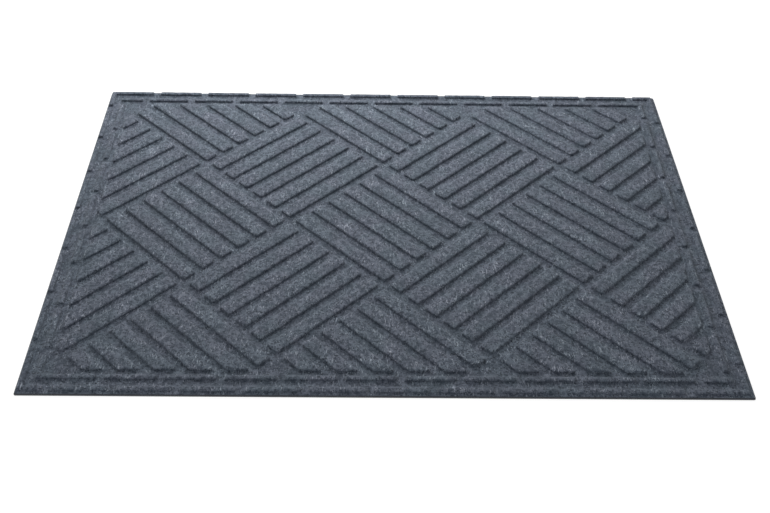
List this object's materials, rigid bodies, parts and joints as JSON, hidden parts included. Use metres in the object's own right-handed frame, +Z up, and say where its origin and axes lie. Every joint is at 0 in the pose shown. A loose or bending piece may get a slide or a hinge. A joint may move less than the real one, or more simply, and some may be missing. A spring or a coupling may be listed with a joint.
{
  "type": "door mat",
  "caption": "Low rectangular entrance mat: a ribbed felt face in a diagonal basket weave with dashed borders, on a moulded rubber backing.",
  "frame": {"origin": "on the floor, under the middle of the mat", "axes": "+X along the long sides, +Y towards the back long side, +Z up through the mat's thickness"},
  "size_m": [0.8, 0.59, 0.0064],
  "materials": {
    "felt": "needle-punched fibre, heathered slate grey, matt",
    "rubber": "moulded rubber, near black, matt"
  },
  "bodies": {
    "root": {"fibre_face": "felt", "rubber_backing": "rubber"}
  },
  "joints": []
}
